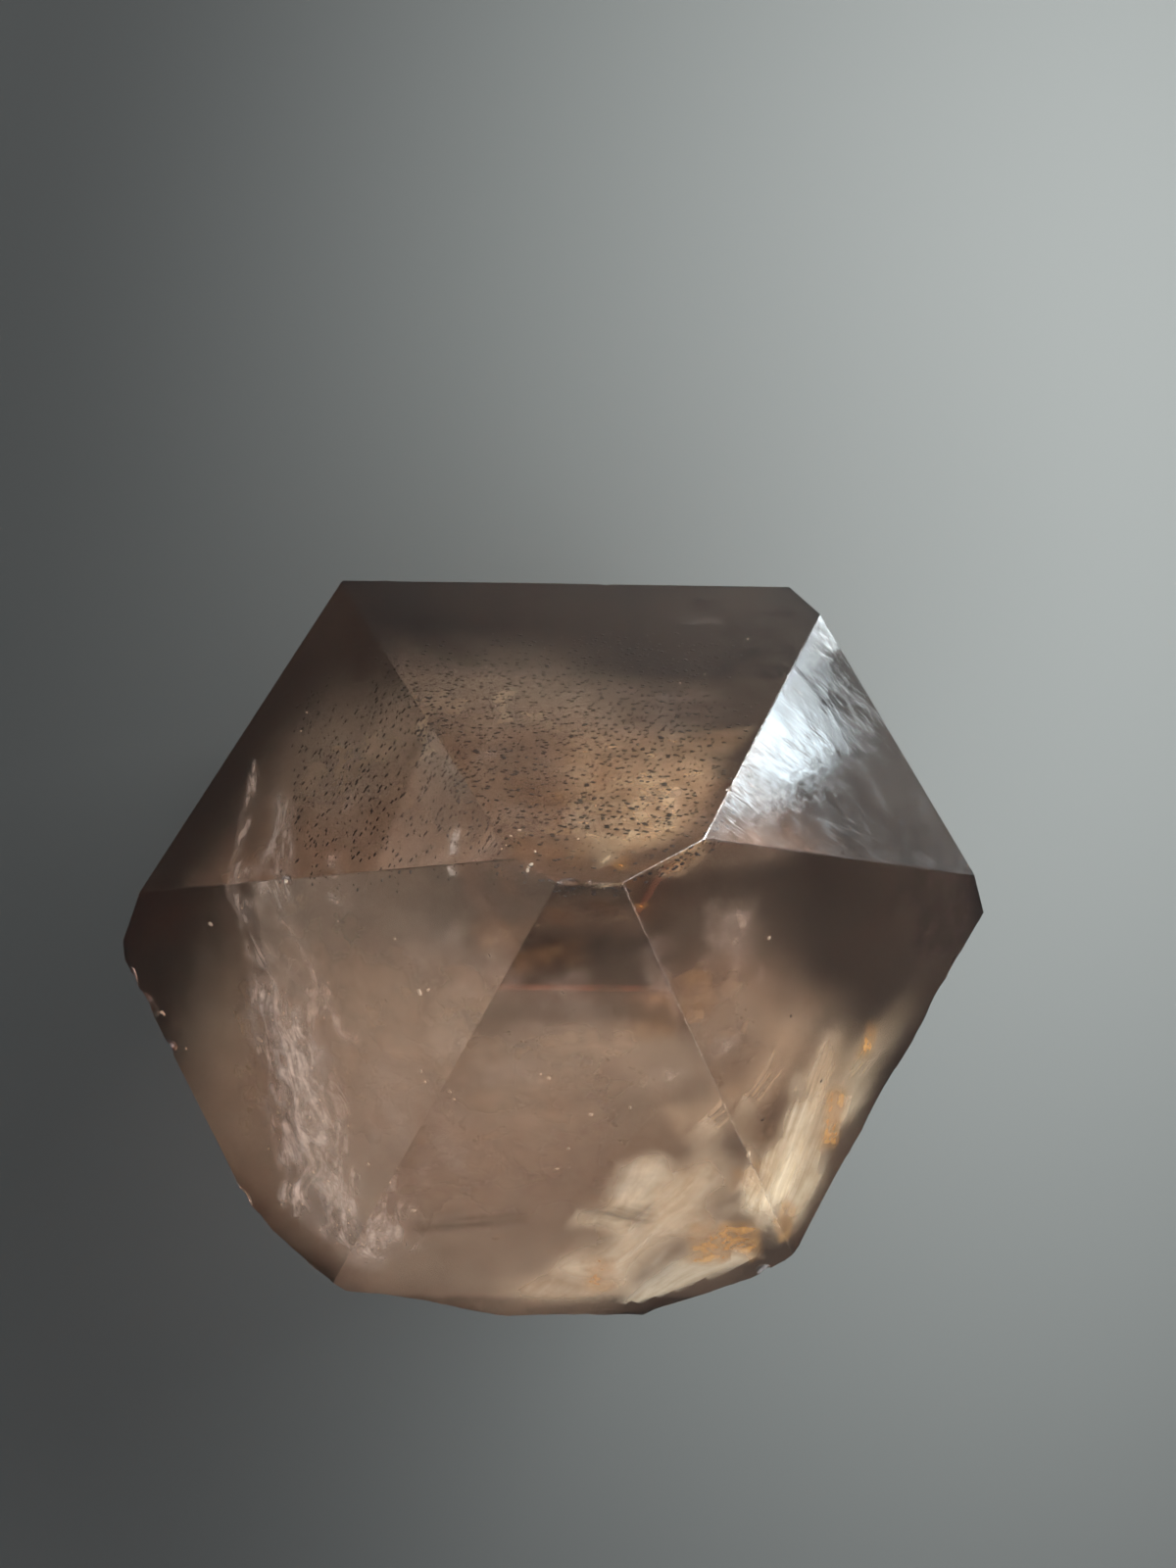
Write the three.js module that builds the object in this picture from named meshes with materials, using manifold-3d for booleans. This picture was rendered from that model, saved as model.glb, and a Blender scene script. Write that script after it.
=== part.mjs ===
// A stout single crystal of smoky phantom quartz, standing on its cut base with its point up.
// Six sloping faces make the point and six upright faces the sides. Four sides are polished.
// The sides towards -Y and +X/-Y are broken, as are the two corners between them.
// Millimetres, +Z up, origin at the middle of the base.

import * as THREE from "three";
import { ConvexGeometry } from "three/addons/geometries/ConvexGeometry.js";
import { mergeVertices } from "three/addons/utils/BufferGeometryUtils.js";
import Module from "manifold-3d";

const HEIGHT = 117; // base to the highest edge of the point
const FACE_SLOPE = 51.8; // of quartz's sloping faces, in degrees from level

// Azimuths are in degrees from +X towards +Y. "reach" is how far a sloping face's plane passes
// outside the axis at the height of the point, and "inradius" how far a side lies from the axis.
const SLOPING_FACES = [
  { azimuth: 90, reach: -0.15 },
  { azimuth: 30, reach: 6.1 },
  { azimuth: -30, reach: 3.2 },
  { azimuth: -90, reach: 0.15 },
  { azimuth: -150, reach: 0.3 },
  { azimuth: 150, reach: 1.65 },
];
const POLISHED_SIDES = [
  { azimuth: 90, inradius: 33.5 },
  { azimuth: 30, inradius: 37.5 },
  { azimuth: -151.7, inradius: 41.0 },
  { azimuth: 180, inradius: 44.0 }, // a narrow rubbed strip on the left corner
  { azimuth: 148.5, inradius: 35.95 },
];
const BASE_BEVEL = 1.3; // ground on the base's edge along the polished sides

// A broken side leans in towards the base by "taper" millimetres for each millimetre of height.
const BROKEN_SIDES = [
  { azimuth: -30, inradius: 37.1, taper: 0.05 },
  { azimuth: -60.7, inradius: 40.5, taper: 0.12 },
  { azimuth: -90, inradius: 41.0, taper: 0.09 },
  { azimuth: -105.6, inradius: 40.9, taper: 0.1 },
  { azimuth: -125.5, inradius: 41.5, taper: 0.08 },
];
const RIM_HEIGHT = HEIGHT - 50; // where the broken sides meet the sloping faces
const BREAK_TOP = HEIGHT - 36; // above every corner of a broken side
const BREAK_RADIUS = 40; // the broken sides' mean distance from the axis
const CLOSING_INRADIUS = 46; // of the two sides that the break removes
const OUT_OF_REACH = 62; // a radius outside every side
const FURTHEST_TURN = 75; // degrees from its middle where a broken side no longer counts
const BREAK_START = -152; // azimuths between which the sides are broken
const BREAK_END = 8;
const BREAK_STEP = 2.6; // degrees between the columns of a broken side
const PLAIN_STEP = 20; // degrees between the columns elsewhere
const ROW_STEP = 2.2; // millimetres between the rows of a broken side

// Relief of the break: shell-shaped hollows of these sizes and depths, in millimetres. Each size
// runs in its own direction, "turn" degrees from level.
const RELIEF = [
  { size: 19, depth: 2.6, turn: 25 },
  { size: 8, depth: 1.2, turn: 58 },
  { size: 3.6, depth: 0.55, turn: -35 },
];
const RIM_RELIEF = 0.3; // share of the relief left at the rim, which runs nearly straight
const RELIEF_START = RIM_HEIGHT + 10; // height where the relief starts to grow
const RELIEF_FADE = 16; // millimetres below that where it is full
const RELIEF_MEAN = 0.4; // mean depth of the hollows as a share of their full depth

// Chips on the edges: a point on or near the edge, measured from the top of the point, and a radius.
const CHIPS = [
  { at: [0.6, -0.1, 0.15], radius: 0.62 },
  { at: [2.1, 0.0, 0.1], radius: 0.3 },
  { at: [-3.7, 1.8, -2.2], radius: 0.35 },
  { at: [14.1, 8.6, -10.9], radius: 0.35 },
  { at: [17.8, -22.9, -28.4], radius: 0.45 },
  { at: [-24.3, 1.6, -25.0], radius: 0.6 },
  { at: [5.2, 33.9, -42.9], radius: 0.6 },
  { at: [-17.4, 33.9, -42.9], radius: 0.4 },
  { at: [26.7, 29.7, -37.8], radius: 0.4 },
  { at: [43.2, -2.0, -42.8], radius: 1.3 },
  { at: [41.0, -4.6, -42.6], radius: 1.2 },
  { at: [38.4, -10.2, -43.0], radius: 1.1 },
  { at: [-41.6, -9.4, -51.0], radius: 1.3 },
  { at: [-39.4, -13.9, -51.3], radius: 1.1 },
  { at: [-42.9, -6.6, -51.0], radius: 0.6 },
  { at: [-31.6, -28.8, -52.2], radius: 1.1 },
  { at: [12.5, -39.9, -50.4], radius: 1.1 },
  { at: [20.7, -35.2, -43.8], radius: 0.9 },
  { at: [-22.9, 33.6, -71.0], radius: 0.9 },
  { at: [-43.9, -4.0, -90.0], radius: 1.3 },
  { at: [24.2, 33.6, -68.5], radius: 0.8 },
  { at: [-8.0, 33.4, -116.6], radius: 1.9 },
  { at: [13.0, 33.6, -116.4], radius: 1.3 },
  { at: [36.5, 12.0, -116.6], radius: 2.2 },
  { at: [-35.0, 10.5, -116.5], radius: 1.7 },
  { at: [-40.8, -11.0, -116.6], radius: 2.4 },
  { at: [-36.8, -18.0, -116.2], radius: 1.5 },
];
const CHIP_STRETCH = [1.7, 0.75, 1.15]; // a chip is longer one way than it is deep

const wasm = await Module();
wasm.setup();

const radians = THREE.MathUtils.degToRad;

// A closed three.js geometry as a solid that can be joined and cut.
function solidOf(geometry) {
  const bare = geometry.clone();
  bare.deleteAttribute("normal");
  bare.deleteAttribute("uv");
  const merged = mergeVertices(bare, 1e-4);
  return new wasm.Manifold(
    new wasm.Mesh({
      numProp: 3,
      vertProperties: new Float32Array(merged.attributes.position.array),
      triVerts: new Uint32Array(merged.index.array),
    }),
  );
}

function geometryOf(solid) {
  const mesh = solid.getMesh();
  const geometry = new THREE.BufferGeometry();
  geometry.setAttribute("position", new THREE.BufferAttribute(mesh.vertProperties, 3));
  geometry.setIndex(new THREE.BufferAttribute(mesh.triVerts, 1));
  return geometry;
}

// The direction that a face with this azimuth looks in. Slope 90 is an upright side.
function facing(azimuth, slope) {
  const a = radians(azimuth);
  const s = radians(slope);
  return new THREE.Vector3(Math.sin(s) * Math.cos(a), Math.sin(s) * Math.sin(a), Math.cos(s));
}

// Every plane that bounds the whole crystal before anything is broken off it.
function boundingPlanes() {
  const top = new THREE.Vector3(0, 0, HEIGHT);
  const sloping = SLOPING_FACES.map(({ azimuth, reach }) => {
    const normal = facing(azimuth, FACE_SLOPE);
    return new THREE.Plane(normal, -(normal.dot(top) + reach));
  });
  const sides = POLISHED_SIDES.map(
    ({ azimuth, inradius }) => new THREE.Plane(facing(azimuth, 90), -inradius),
  );
  // The break removes more than these two, which only close the hexagon.
  const closing = [-30, -90].map(
    (azimuth) => new THREE.Plane(facing(azimuth, 90), -CLOSING_INRADIUS),
  );
  const base = new THREE.Plane(new THREE.Vector3(0, 0, -1), 0);
  const bevels = POLISHED_SIDES.map(
    ({ azimuth, inradius }) =>
      new THREE.Plane(facing(azimuth, 135), -(inradius - BASE_BEVEL) * Math.SQRT1_2),
  );
  return [...sloping, ...sides, ...closing, ...bevels, base];
}

// The point where three planes meet, or null where two of them are parallel.
function meetingPoint(a, b, c) {
  const bc = b.normal.clone().cross(c.normal);
  const ca = c.normal.clone().cross(a.normal);
  const ab = a.normal.clone().cross(b.normal);
  const spread = a.normal.dot(bc);
  if (Math.abs(spread) < 1e-9) return null;
  return bc
    .multiplyScalar(-a.constant)
    .addScaledVector(ca, -b.constant)
    .addScaledVector(ab, -c.constant)
    .divideScalar(spread);
}

// The convex solid inside all the planes, from the corners that lie outside none of them.
function insideOf(planes) {
  const corners = [];
  planes.forEach((a, i) =>
    planes.slice(i + 1).forEach((b, j) =>
      planes.slice(i + j + 2).forEach((c) => {
        const point = meetingPoint(a, b, c);
        if (!point || planes.some((plane) => plane.distanceToPoint(point) > 1e-6)) return;
        if (corners.every((corner) => corner.distanceTo(point) > 1e-4)) corners.push(point);
      }),
    ),
  );
  return new ConvexGeometry(corners);
}

// A repeatable number from 0 to 1 for each whole-numbered grid point.
function gridValue(i, j, seed) {
  const mixed = Math.sin(i * 127.1 + j * 311.7 + seed * 74.7) * 43758.5453;
  return mixed - Math.floor(mixed);
}

// Smooth bumps from -1 to 1, one unit apart.
function bumps(u, v, seed) {
  const i = Math.floor(u);
  const j = Math.floor(v);
  const s = THREE.MathUtils.smoothstep(u - i, 0, 1);
  const t = THREE.MathUtils.smoothstep(v - j, 0, 1);
  const low = THREE.MathUtils.lerp(gridValue(i, j, seed), gridValue(i + 1, j, seed), s);
  const high = THREE.MathUtils.lerp(gridValue(i, j + 1, seed), gridValue(i + 1, j + 1, seed), s);
  return 2 * THREE.MathUtils.lerp(low, high, t) - 1;
}

// How deep the broken surface lies at an azimuth and height: rounded hollows with sharp ridges
// between them, which is how quartz breaks. The mean depth is zero.
function breakDepth(azimuth, z) {
  const place = new THREE.Vector2(radians(azimuth) * BREAK_RADIUS, z);
  const below = THREE.MathUtils.clamp((RELIEF_START - z) / RELIEF_FADE, 0, 1);
  const share = THREE.MathUtils.lerp(RIM_RELIEF, 1, below);
  const hollows = RELIEF.map(({ size, depth, turn }, seed) => {
    const { x, y } = place.clone().rotateAround(new THREE.Vector2(), radians(turn));
    return depth * (Math.abs(bumps(x / size, y / size, seed)) - RELIEF_MEAN);
  });
  return share * hollows.reduce((sum, hollow) => sum + hollow, 0);
}

function brokenRadius(azimuth, z) {
  const reaches = BROKEN_SIDES.map(({ azimuth: middle, inradius, taper }) => {
    const turn = Math.abs(azimuth - middle);
    const leaning = inradius - taper * Math.max(0, RIM_HEIGHT - z);
    return turn < FURTHEST_TURN ? leaning / Math.cos(radians(turn)) : OUT_OF_REACH;
  });
  const flat = Math.min(...reaches, OUT_OF_REACH);
  return flat >= OUT_OF_REACH ? OUT_OF_REACH : flat - breakDepth(azimuth, z);
}

function breakAzimuths() {
  const azimuths = [];
  for (let a = BREAK_START; a < BREAK_END; a += BREAK_STEP) azimuths.push(a);
  for (let a = BREAK_END; a < BREAK_START + 360; a += PLAIN_STEP) azimuths.push(a);
  return azimuths;
}

// A closed drum around the crystal whose wall is the broken surface where there is one.
function breakDrum() {
  const azimuths = breakAzimuths();
  const heights = [];
  for (let z = -2; z < BREAK_TOP; z += ROW_STEP) heights.push(z);
  heights.push(BREAK_TOP, HEIGHT + 2);
  const points = [];
  heights.forEach((z) =>
    azimuths.forEach((azimuth) => {
      const radius = z > BREAK_TOP ? OUT_OF_REACH : brokenRadius(azimuth, z);
      points.push(radius * Math.cos(radians(azimuth)), radius * Math.sin(radians(azimuth)), z);
    }),
  );
  const around = azimuths.length;
  const bottomMiddle = points.length / 3;
  points.push(0, 0, heights[0], 0, 0, heights.at(-1));
  const triangles = [];
  for (let row = 0; row < heights.length - 1; row++) {
    for (let i = 0; i < around; i++) {
      const next = (i + 1) % around;
      const [a, b] = [row * around + i, row * around + next];
      const [c, d] = [a + around, b + around];
      if ((row + i) % 2) triangles.push(a, b, d, a, d, c);
      else triangles.push(a, b, c, b, d, c);
    }
  }
  const lastRow = (heights.length - 1) * around;
  for (let i = 0; i < around; i++) {
    const next = (i + 1) % around;
    triangles.push(bottomMiddle, next, i);
    triangles.push(bottomMiddle + 1, lastRow + i, lastRow + next);
  }
  const geometry = new THREE.BufferGeometry();
  geometry.setAttribute("position", new THREE.Float32BufferAttribute(points, 3));
  geometry.setIndex(triangles);
  return geometry;
}

// One chip: a flattened lump with flat facets, turned a different way for each place.
function chip({ at, radius }, index) {
  const lump = new THREE.IcosahedronGeometry(radius, 1);
  lump.scale(...CHIP_STRETCH);
  lump.rotateZ(index * 1.9);
  lump.rotateX(index * 0.7);
  lump.translate(at[0], at[1], HEIGHT + at[2]);
  return lump;
}

function crystalSolid() {
  let solid = solidOf(insideOf(boundingPlanes())).intersect(solidOf(breakDrum()));
  CHIPS.forEach((place, index) => {
    solid = solid.subtract(solidOf(chip(place, index)));
  });
  return solid;
}

// Moves the crystal so that the middle of its base is the origin.
function centreOnBase(geometry) {
  geometry.computeBoundingBox();
  const { min, max } = geometry.boundingBox;
  return geometry.translate(-(min.x + max.x) / 2, -(min.y + max.y) / 2, -min.z);
}

const quartz = new THREE.Mesh(
  centreOnBase(geometryOf(crystalSolid())),
  new THREE.MeshStandardMaterial({
    color: 0x6b5b4e,
    roughness: 0.08,
    metalness: 0,
    transparent: true,
    opacity: 0.6,
  }),
);
quartz.name = "quartz_crystal";

const specimen = new THREE.Group();
specimen.add(quartz);

export default specimen;
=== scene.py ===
# %% [markdown]
# A smoky quartz point with a phantom of dark specks inside, lit and finished in Blender.
#
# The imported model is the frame: one crystal, standing on its cut base with its point up. It is
# loaded first, because every other piece is placed from it.

# %% The frame
import math

import bmesh
import bpy
from mathutils import Matrix, Vector, noise


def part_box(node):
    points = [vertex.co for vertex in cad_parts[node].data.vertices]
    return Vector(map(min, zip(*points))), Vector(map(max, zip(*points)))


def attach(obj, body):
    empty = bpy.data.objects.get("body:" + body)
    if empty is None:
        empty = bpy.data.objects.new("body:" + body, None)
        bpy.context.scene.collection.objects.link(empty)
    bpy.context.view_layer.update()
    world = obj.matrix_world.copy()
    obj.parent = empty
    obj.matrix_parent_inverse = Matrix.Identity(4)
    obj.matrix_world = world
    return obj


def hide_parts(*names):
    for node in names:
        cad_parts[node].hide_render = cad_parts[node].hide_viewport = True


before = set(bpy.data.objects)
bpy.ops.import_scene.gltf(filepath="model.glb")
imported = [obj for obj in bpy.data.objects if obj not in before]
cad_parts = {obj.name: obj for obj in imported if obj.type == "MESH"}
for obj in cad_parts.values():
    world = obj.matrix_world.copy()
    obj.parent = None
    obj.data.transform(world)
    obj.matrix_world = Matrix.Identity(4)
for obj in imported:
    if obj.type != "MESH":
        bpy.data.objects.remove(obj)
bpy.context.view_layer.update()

MM = 0.001
low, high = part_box("quartz_crystal")
print("crystal", [round((b - a) / MM, 1) for a, b in zip(low, high)], "mm")

# %% [markdown]
# Everything inside the crystal is placed in millimetres from one point that is easy to find again:
# the top of the crystal, on its axis. The axis lies 44 mm in from the left corner and 33.5 mm in
# from the flat side at the back, so both come from the crystal's own box.

# %% The top of the crystal
LEFT_CORNER = 44.0
BACK_SIDE = 33.5
top = Vector((low.x + LEFT_CORNER * MM, high.y - BACK_SIDE * MM, high.z))
HEIGHT = (high.z - low.z) / MM
print("top of the crystal", [round(v / MM, 1) for v in top], "height", round(HEIGHT, 1))

# %% [markdown]
# Quartz grows with the same angles every time. Its six sloping faces stand 51.8 degrees from level
# and 60 degrees apart, so a face needs only an azimuth and how far out it lies. The upright sides
# and the broken sides are written the same way. Broken sides lean inwards towards the base.

# %% The crystal's own planes
SLOPE = math.radians(51.8)
UPRIGHT = math.radians(90)
SLOPING = {  # azimuth in degrees from +X, and how far outside the top the face passes, in mm
    "back": (90, -0.15),
    "back_right": (30, 6.1),
    "front_right": (-30, 3.2),
    "front": (-90, 0.15),
    "front_left": (-150, 0.3),
    "back_left": (150, 1.65),
}
SIDES = [(90, 33.5), (30, 37.5), (-151.7, 41.0), (180, 44.0), (148.5, 35.95)]  # azimuth, reach
BROKEN = [  # azimuth, reach, and how far it leans in for each millimetre down
    (-30, 37.1, 0.05), (-60.7, 40.5, 0.12), (-90, 41.0, 0.09), (-105.6, 40.9, 0.1), (-125.5, 41.5, 0.08),
]
RIM_DEPTH = 50.0  # the broken sides start this far below the top
HOLLOW = 2.5  # and their hollows go this deep
HOLLOW_START, HOLLOW_FULL = 40.0, 56.0  # between these depths below the top


def facing(azimuth, slope):
    """The direction that a face looks in, as a vector of length 1."""
    a = math.radians(azimuth)
    return Vector((math.sin(slope) * math.cos(a), math.sin(slope) * math.sin(a), math.cos(slope)))


def depth_inside(p):
    """How far inside the crystal a point lies, in mm. It is below zero outside."""
    depths = [reach - facing(azimuth, SLOPE).dot(p) for azimuth, reach in SLOPING.values()]
    depths += [reach - facing(azimuth, UPRIGHT).dot(p) for azimuth, reach in SIDES]
    hollow = HOLLOW * min(1.0, max(0.0, -p.z - HOLLOW_START) / (HOLLOW_FULL - HOLLOW_START))
    for azimuth, reach, lean in BROKEN:
        leant = reach - lean * max(0.0, -p.z - RIM_DEPTH) - hollow
        depths.append(leant - facing(azimuth, UPRIGHT).dot(p))
    depths.append(p.z + HEIGHT)
    return min(depths)


# %% [markdown]
# The camera looks down on the point, as the photograph does. Its place was worked out from the
# crystal itself: the sloping faces of quartz always stand at the same angle, so six of them in one
# picture fix where the lens was. A picture side of 1600 pixels on a 36 mm sensor then gives a
# 40.5 mm lens.

# %% Camera
CAMERA_FROM_TOP = Vector((-2.69, -9.97, 133.23))
CAMERA_RIGHT = Vector((0.99935, 0.00612, 0.03546))
CAMERA_UP = Vector((-0.01063, 0.99168, 0.12831))
CAMERA_BACK = CAMERA_RIGHT.cross(CAMERA_UP)
LENS = 40.5
SENSOR = 36.0
PICTURE = (1200, 1600)

camera_data = bpy.data.cameras.new("camera")
camera_data.lens = LENS
camera_data.sensor_width = SENSOR
camera_data.clip_start = 5 * MM
camera_data.clip_end = 20  # metres
camera = bpy.data.objects.new("camera", camera_data)
bpy.context.scene.collection.objects.link(camera)
turn = Matrix((CAMERA_RIGHT, CAMERA_UP, CAMERA_BACK)).transposed()
camera.matrix_world = Matrix.Translation(top + CAMERA_FROM_TOP * MM) @ turn.to_4x4()
bpy.context.scene.camera = camera
print("camera", round(CAMERA_FROM_TOP.length), "mm from the top of the crystal")

# %% [markdown]
# What lies inside a crystal isn't where it seems to be, because the faces bend the light. To put a
# veil where it is seen, the ray from the lens is followed to the face, bent by quartz's index, and
# then followed for some millimetres inside.

# %% Where a thing seen through a face really is
QUARTZ_IOR = 1.544
FOCAL = LENS / SENSOR * PICTURE[1]  # pixels


def seen_through(face, across, down, depth):
    """The place, in mm from the top, that shows at this point of the picture behind a face."""
    azimuth, reach = SLOPING[face]
    normal = facing(azimuth, SLOPE)
    ray = CAMERA_RIGHT * (across - PICTURE[0] / 2) + CAMERA_UP * (PICTURE[1] / 2 - down)
    ray = (ray - CAMERA_BACK * FOCAL).normalized()
    entry = CAMERA_FROM_TOP + ray * (reach - normal.dot(CAMERA_FROM_TOP)) / normal.dot(ray)
    cosine = -normal.dot(ray)
    inner = math.sqrt(1 - (1 - cosine * cosine) / QUARTZ_IOR**2)
    bent = ray / QUARTZ_IOR + normal * (cosine / QUARTZ_IOR - inner)
    return entry + bent * depth


# %% [markdown]
# Three helpers serve every material. One turns the hex colour that a picture editor shows into the
# linear numbers that Blender calculates with. One adds a node with its settings and links. The last
# starts an empty material.

# %% Helpers for materials
def linear(hex_colour):
    """An sRGB hex colour such as "6b5b4e" as linear red, green, blue and alpha."""
    parts = [int(hex_colour[i : i + 2], 16) / 255 for i in (0, 2, 4)]
    return [c / 12.92 if c <= 0.04045 else ((c + 0.055) / 1.055) ** 2.4 for c in parts] + [1.0]


def add(tree, kind, settings=None, **sockets):
    """Adds a node. Settings are its own properties; sockets get a value, or a link from a socket.

    A socket goes by its name, with _ for a space, or by its number, as in _0.
    """
    node = tree.nodes.new(kind)
    for name, value in (settings or {}).items():
        setattr(node, name, value)
    for name, value in sockets.items():
        socket = node.inputs[int(name[1:])] if name[1:].isdigit() else node.inputs[name.replace("_", " ")]
        if isinstance(value, bpy.types.NodeSocket):
            tree.links.new(value, socket)
        else:
            socket.default_value = value
    return node


def new_material(name):
    """An empty node material, its tree and its output node."""
    material = bpy.data.materials.new(name)
    material.use_nodes = True
    material.node_tree.nodes.clear()
    return material, material.node_tree, material.node_tree.nodes.new("ShaderNodeOutputMaterial")


# %% [markdown]
# Two more helpers serve every piece. One makes an object from a mesh and gives it its material. The
# other makes the object a part of the crystal, so that it moves with the crystal.

# %% Helpers for pieces
def new_object(name, mesh, material=None):
    """An object in the scene, at the origin, with its mesh and material."""
    made = bpy.data.objects.new(name, mesh)
    bpy.context.scene.collection.objects.link(made)
    if material:
        mesh.materials.append(material)
    return made


def inside_piece(name, mesh, material=None):
    """A piece that lies inside the quartz and moves with it."""
    piece = new_object(name, mesh, material)
    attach(piece, "root")
    mesh.calc_loop_triangles()
    print(name, len(mesh.loop_triangles), "triangles")


# %% [markdown]
# The crystal itself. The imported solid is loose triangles, so a copy of it is merged, and the flat
# faces become single polygons. A face is polished if it looks the same way as one of the planes
# above and isn't tiny: what is left over is a break or a chip.

# %% Polished faces
SAME_WAY = math.cos(math.radians(0.6))
SMALLEST_POLISHED = 0.5  # square millimetres
BASE_BEVEL = math.radians(135)
polished_normals = [facing(azimuth, SLOPE) for azimuth, _ in SLOPING.values()]
polished_normals += [facing(azimuth, UPRIGHT) for azimuth, _ in SIDES]
polished_normals += [facing(azimuth, BASE_BEVEL) for azimuth, _ in SIDES]
polished_normals.append(Vector((0, 0, -1)))


def polished_side(face):
    """Which of the polished planes a face lies in, or None on a break or a chip."""
    for index, normal in enumerate(polished_normals):
        if face.normal.dot(normal) > SAME_WAY and face.calc_area() > SMALLEST_POLISHED * MM * MM:
            return index
    return None


crystal_mesh = bpy.data.meshes.new("quartz_point")
bm = bmesh.new()
bm.from_mesh(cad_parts["quartz_crystal"].data)
bmesh.ops.remove_doubles(bm, verts=bm.verts, dist=0.002 * MM)
bmesh.ops.dissolve_limit(bm, angle_limit=math.radians(0.3), verts=bm.verts, edges=bm.edges)
bmesh.ops.recalc_face_normals(bm, faces=bm.faces)
print("merged crystal", len(bm.verts), "vertices", len(bm.faces), "faces")

# %% [markdown]
# A ground edge is never knife-sharp, and the thin line of light on it is what makes glass and
# crystal look real. A bevel modifier would have to follow every small chip on the edge. So each
# edge between two polished faces is cut with a plane instead, which goes cleanly through the chips.

# %% Narrow flats on the polished edges
EDGE_FLAT = 0.03  # millimetres ground off each edge
CUT_SLACK = 1e-7  # metres: a vertex this near to the cut counts as on it
SLIVER = 0.02  # millimetres: vertices this near to each other after the cuts are joined


def grind_edge(bm, normal, point):
    """Cuts off what lies beyond a plane and closes the cut."""
    cut = bmesh.ops.bisect_plane(
        bm, geom=bm.verts[:] + bm.edges[:] + bm.faces[:], plane_co=point, plane_no=normal,
        clear_outer=True, dist=CUT_SLACK,
    )
    rim = [e for e in cut["geom_cut"] if isinstance(e, bmesh.types.BMEdge) and e.is_boundary]
    bmesh.ops.triangle_fill(bm, edges=rim, use_beauty=True, use_dissolve=True)


sides_of = {face: polished_side(face) for face in bm.faces}
longest = {}  # for each two sides that meet, their longest shared edge: its length and its middle
for edge in bm.edges:
    if len(edge.link_faces) != 2:
        continue
    a, b = (sides_of[f] for f in edge.link_faces)
    if a is None or b is None or a == b:
        continue
    pair = (min(a, b), max(a, b))
    if pair not in longest or edge.calc_length() > longest[pair][0]:
        longest[pair] = (edge.calc_length(), (edge.verts[0].co + edge.verts[1].co) / 2)
for pair in sorted(longest):
    outward = (polished_normals[pair[0]] + polished_normals[pair[1]]).normalized()
    grind_edge(bm, outward, longest[pair][1] - outward * EDGE_FLAT * MM)
bmesh.ops.remove_doubles(bm, verts=bm.verts, dist=SLIVER * MM)
bmesh.ops.holes_fill(bm, edges=[e for e in bm.edges if e.is_boundary])
print("flats on", len(longest), "edges;", sum(not e.is_manifold for e in bm.edges), "open edges left")

# %% [markdown]
# The broken sides. Quartz breaks like glass, in shell-shaped hollows with ripples and small steps.
# The solid has the hollows. The ripples are a few tenths of a millimetre, so the broken faces are
# divided and pushed in and out by noise, and the polished faces keep their flatness.

# %% Ripples and steps on the broken sides
RIPPLE = [(2.6, 0.22), (0.95, 0.1)]  # size and height in millimetres
RIPPLE_TOP = 30.0  # there are none above this depth below the top, where the chips are
LONG_EDGE = 1.1  # millimetres: longer edges of a broken face are divided
NARROW = 0.02  # square millimetres: the ground flats and slivers are left whole
polished_faces = {face for face in bm.faces if polished_side(face) is not None}
narrow = {f for f in bm.faces if f not in polished_faces and f.calc_area() < NARROW * MM * MM}
rough_faces = [f for f in bm.faces if f not in polished_faces | narrow]
broken_edges = {e for f in rough_faces for e in f.edges if e.calc_length() > LONG_EDGE * MM}
bmesh.ops.subdivide_edges(bm, edges=list(broken_edges), cuts=2, use_grid_fill=True)
bmesh.ops.triangulate(bm, faces=[f for f in bm.faces if polished_side(f) is None])
keep_flat = {v for f in bm.faces if polished_side(f) is not None for v in f.verts}
for vert in bm.verts:
    if vert in keep_flat or vert.co.z > high.z - RIPPLE_TOP * MM:
        continue
    lift = 0.0
    for size, height in RIPPLE:
        lift += height * (abs(noise.noise(vert.co / (size * MM))) * 2 - 0.5)
    vert.co -= vert.normal * lift * MM

# %% [markdown]
# The material has to know which faces are broken and which one is worn, so each face carries two
# numbers. Broken faces are shaded smooth, except over sharp steps and where they meet the polish.

# %% Marks on the faces
SHARP = math.radians(25)
WORN_SIDE = list(SLOPING).index("back_right")
broken = bm.faces.layers.float.new("broken")
scuffed = bm.faces.layers.float.new("scuffed")
for face in bm.faces:
    side = polished_side(face)
    face[broken] = float(side is None)
    face[scuffed] = float(side == WORN_SIDE)
    face.smooth = side is None
for edge in bm.edges:
    if len(edge.link_faces) == 2 and edge.calc_face_angle(0) > SHARP:
        edge.smooth = False
    if len({face[broken] for face in edge.link_faces}) == 2:
        edge.smooth = False
bm.to_mesh(crystal_mesh)
bm.free()
crystal_mesh.calc_loop_triangles()
print("crystal", len(crystal_mesh.loop_triangles), "triangles")

# %% [markdown]
# The polish is fine but made by hand, so it has hairline scratches. One small face is worn: it is
# dull in patches and along the scratches, so the light that it mirrors looks smeared. A break is
# rough all over. One number at each point says all of this, the roughness: the polish gives 0.03,
# and wear and breaks add to it.

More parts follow.
